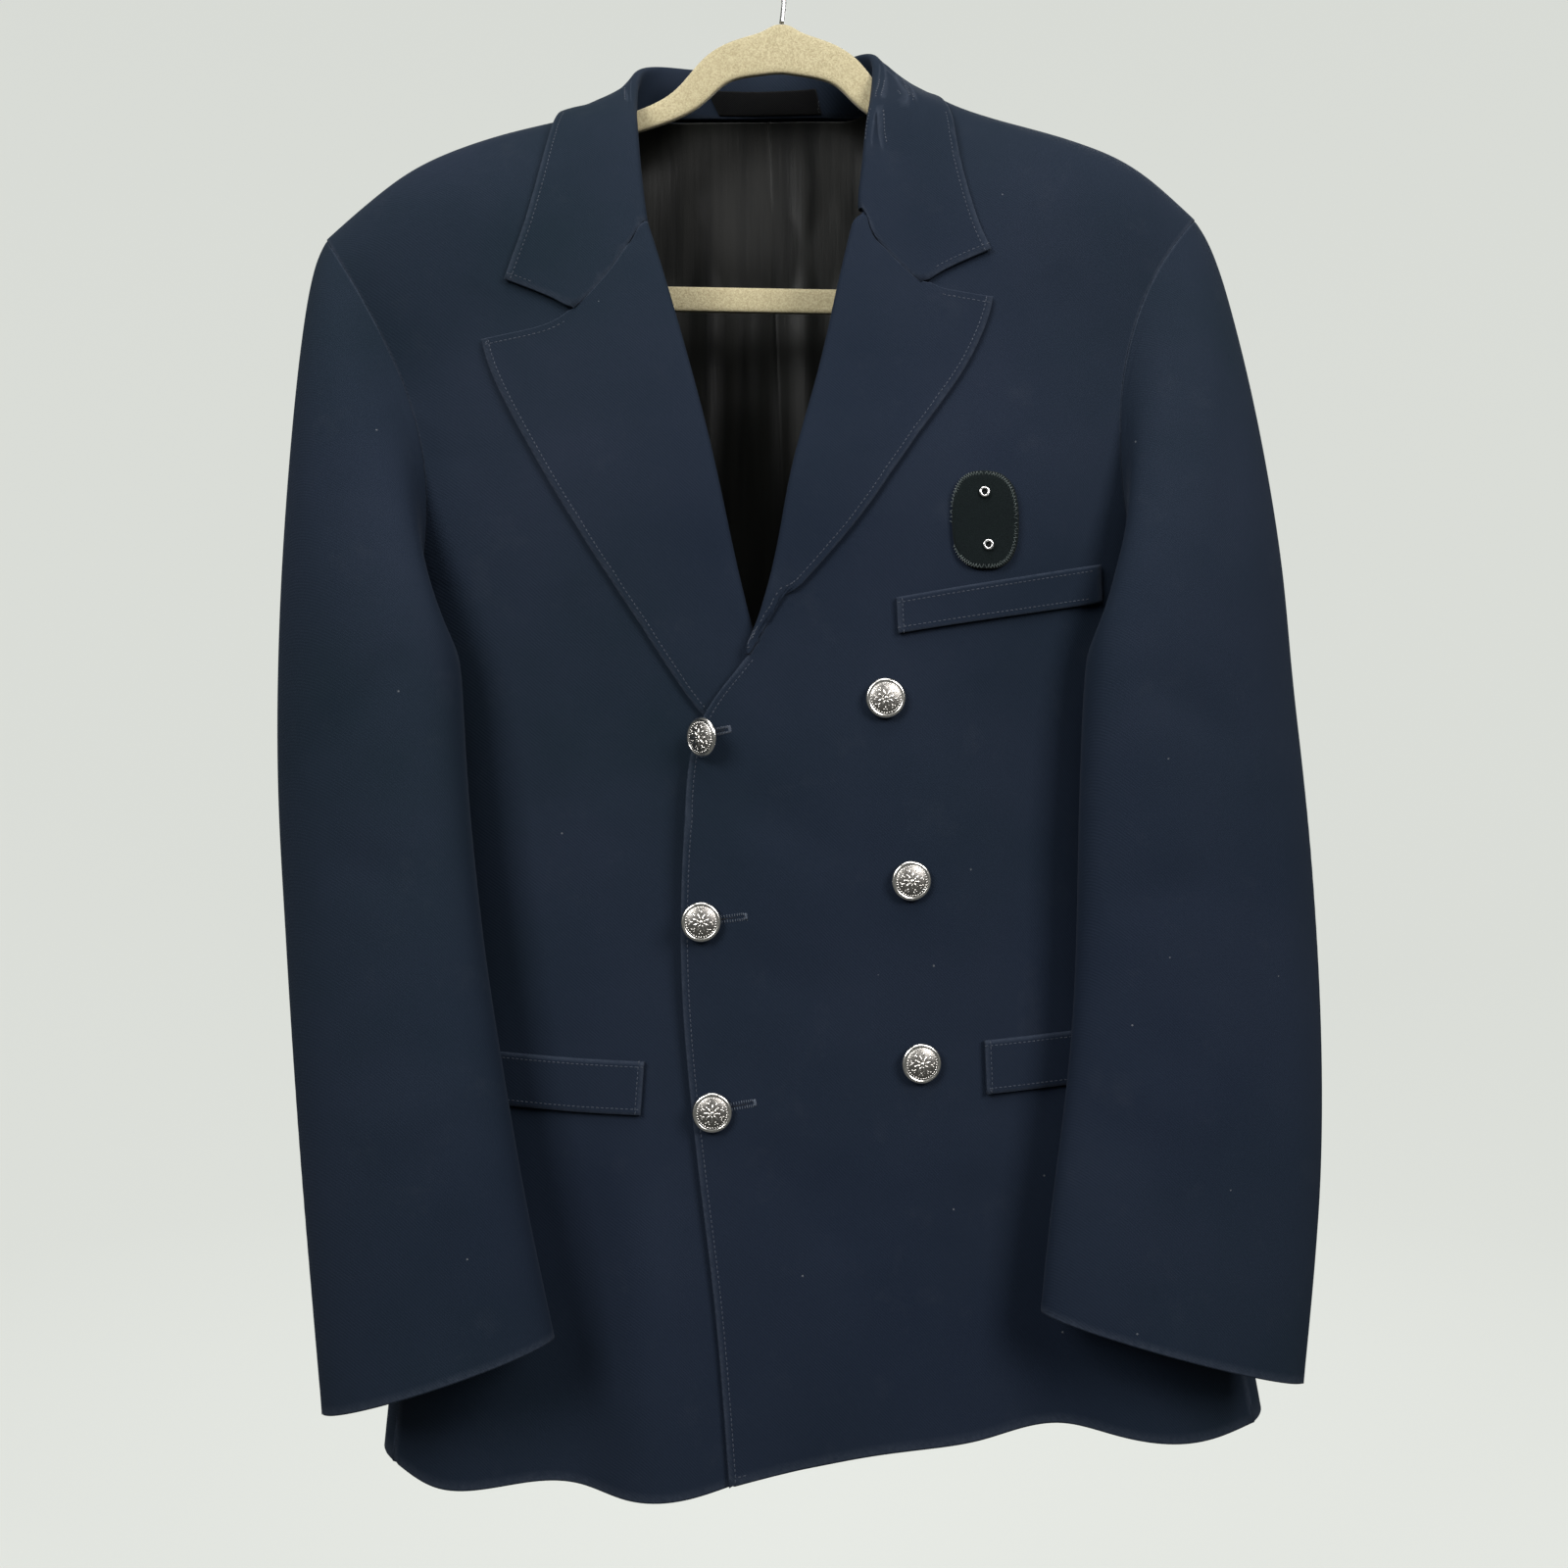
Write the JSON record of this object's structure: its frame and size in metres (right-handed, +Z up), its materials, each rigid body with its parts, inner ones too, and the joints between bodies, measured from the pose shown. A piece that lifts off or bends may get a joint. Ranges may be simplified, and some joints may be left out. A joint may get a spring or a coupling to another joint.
{
  "type": "uniform jacket on a hanger",
  "caption": "Double-breasted navy uniform jacket with peak lapels, buttoned closed and hung on a flocked hanger, with open neck, hem and cuffs.",
  "frame": {"origin": "inside of the hanger hook's crown, where the rail carries it", "axes": "+Z up; the jacket's front faces -Y and the wearer's left side is at +X"},
  "size_m": [0.6045, 0.1927, 0.9513],
  "materials": {
    "wool": "navy worsted wool, pressed",
    "satin": "dark satin lining",
    "woven_label": "black woven ribbon, bare",
    "felt": "green-black felt with an overlocked edge",
    "silver": "bright silver plate",
    "flock": "beige flocking over plastic",
    "steel": "bright wire"
  },
  "bodies": {
    "root": {"front_left": "wool", "front_right": "wool", "side_left": "wool", "side_right": "wool", "back_left": "wool", "back_right": "wool", "lapel_left": "wool", "lapel_right": "wool", "collar": "wool", "sleeve_left_top": "wool", "sleeve_left_under": "wool", "sleeve_right_top": "wool", "sleeve_right_under": "wool", "flap_left": "wool", "flap_right": "wool", "breast_welt": "wool", "lining_left": "satin", "lining_right": "satin", "label": "woven_label", "badge_tab": "felt", "eyelet_upper": "silver", "eyelet_lower": "silver", "button_edge_top": "silver", "button_edge_middle": "silver", "button_edge_low": "silver", "button_far_top": "silver", "button_far_middle": "silver", "button_far_low": "silver", "hanger_body": "flock", "hanger_hook": "steel"}
  },
  "joints": []
}
